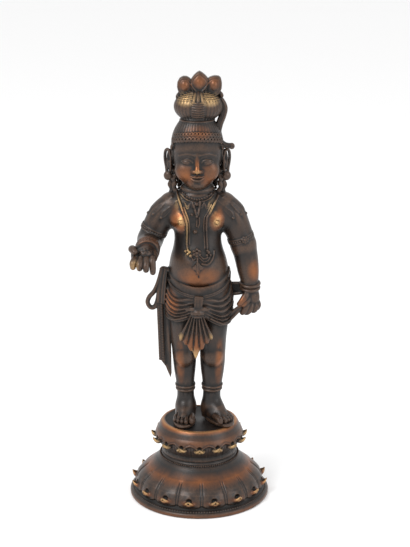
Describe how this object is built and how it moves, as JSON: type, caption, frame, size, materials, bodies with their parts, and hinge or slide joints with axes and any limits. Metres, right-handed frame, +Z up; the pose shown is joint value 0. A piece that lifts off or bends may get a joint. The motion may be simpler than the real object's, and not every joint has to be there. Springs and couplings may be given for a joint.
{
  "type": "bronze deity statue",
  "caption": "Standing South Indian bronze figure with one hand held out, pleated waistcloth and leaf-crested hair, on a round double-lotus plinth.",
  "frame": {"origin": "centre of the plinth's flat underside", "axes": "+Z up through the figure, which faces -Y; +X is on the viewer's right from the front"},
  "size_m": [0.108, 0.108, 0.33],
  "materials": {
    "bronze": "dark brown patinated bronze, rubbed to copper and gold on the high places",
    "plinth_bronze": "dark brown patinated bronze with a copper sheen on the shoulder and golden petal tips"
  },
  "bodies": {
    "root": {"figure": "bronze", "lotus_plinth": "plinth_bronze"}
  },
  "joints": []
}
